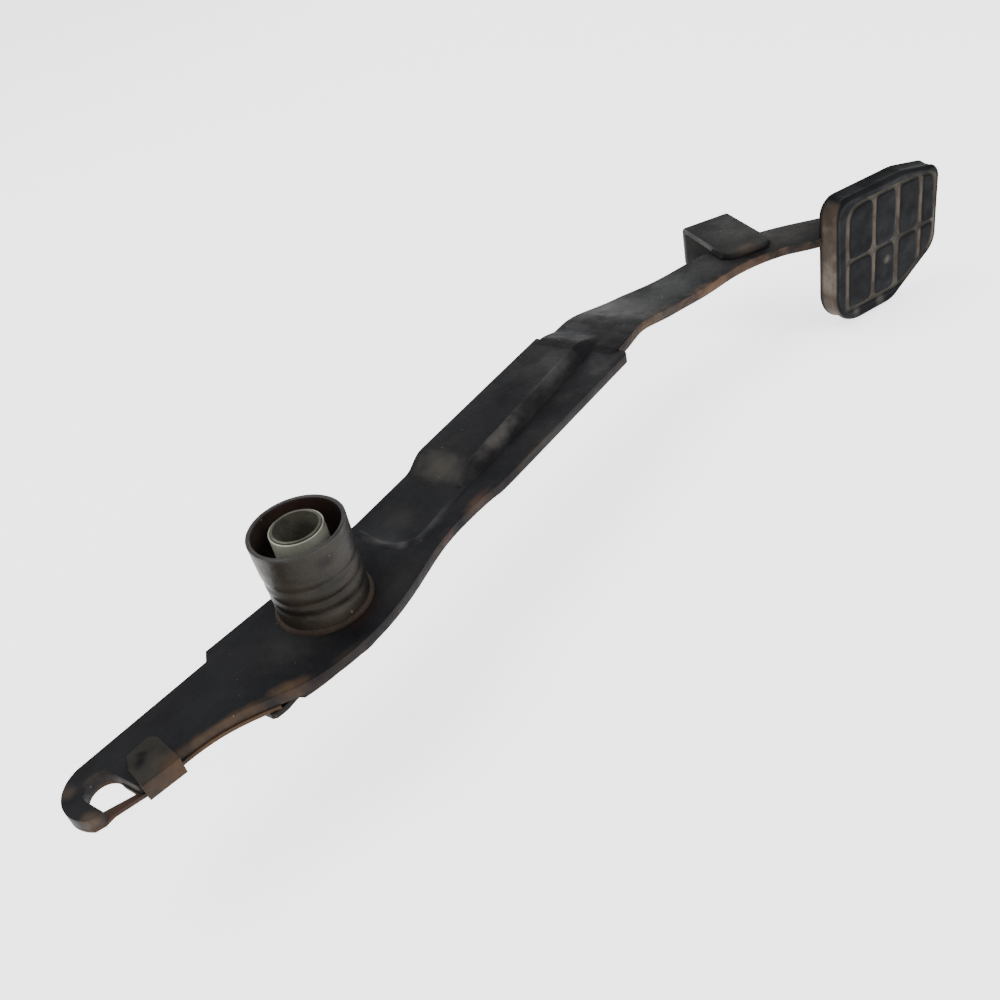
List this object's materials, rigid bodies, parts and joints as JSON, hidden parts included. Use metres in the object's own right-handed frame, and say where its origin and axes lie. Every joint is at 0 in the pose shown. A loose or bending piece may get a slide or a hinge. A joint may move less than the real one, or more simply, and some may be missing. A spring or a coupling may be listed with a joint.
{
  "type": "hanging foot pedal lever",
  "caption": "Hanging foot pedal lever of a car: hooked black sheet-steel lever with a pivot hub, bent neck bar, stop bracket and worn rubber pad.",
  "frame": {"origin": "on the pivot axis, level with the face of the lever plate that carries the hub", "axes": "+Z along the pivot axis out of the hub's open end, +X along the lever from the hub to the pad, +Y towards the side the cable hook opens away from"},
  "size_m": [0.4668, 0.1296, 0.086],
  "materials": {
    "black_paint": "satin",
    "hub_steel": "satin",
    "weld_steel": "matte",
    "sleeve_steel": "satin",
    "nylon": "satin",
    "pad_rubber": "matte"
  },
  "bodies": {
    "lever": {"lever_plate": "black_paint", "hook_doubler": "black_paint", "rear_plate": "black_paint", "neck_bar": "black_paint", "hub_tube": "hub_steel", "front_bush": "nylon", "rear_bush": "nylon", "hub_weld_front": "weld_steel", "hub_weld_rear": "weld_steel", "seam_weld": "weld_steel", "neck_weld": "weld_steel", "end_weld": "black_paint", "stop_bracket": "black_paint", "bracket_weld": "weld_steel", "pad_plate": "black_paint", "pad_weld": "weld_steel", "pad_cover": "pad_rubber"},
    "sleeve": {"pivot_sleeve": "sleeve_steel"}
  },
  "joints": [
    {"name": "sleeve_turn", "type": "hinge", "parent": "lever", "child": "sleeve", "pos_m": [0, 0, 0], "axis": [0, 0, 1], "continuous": true}
  ]
}
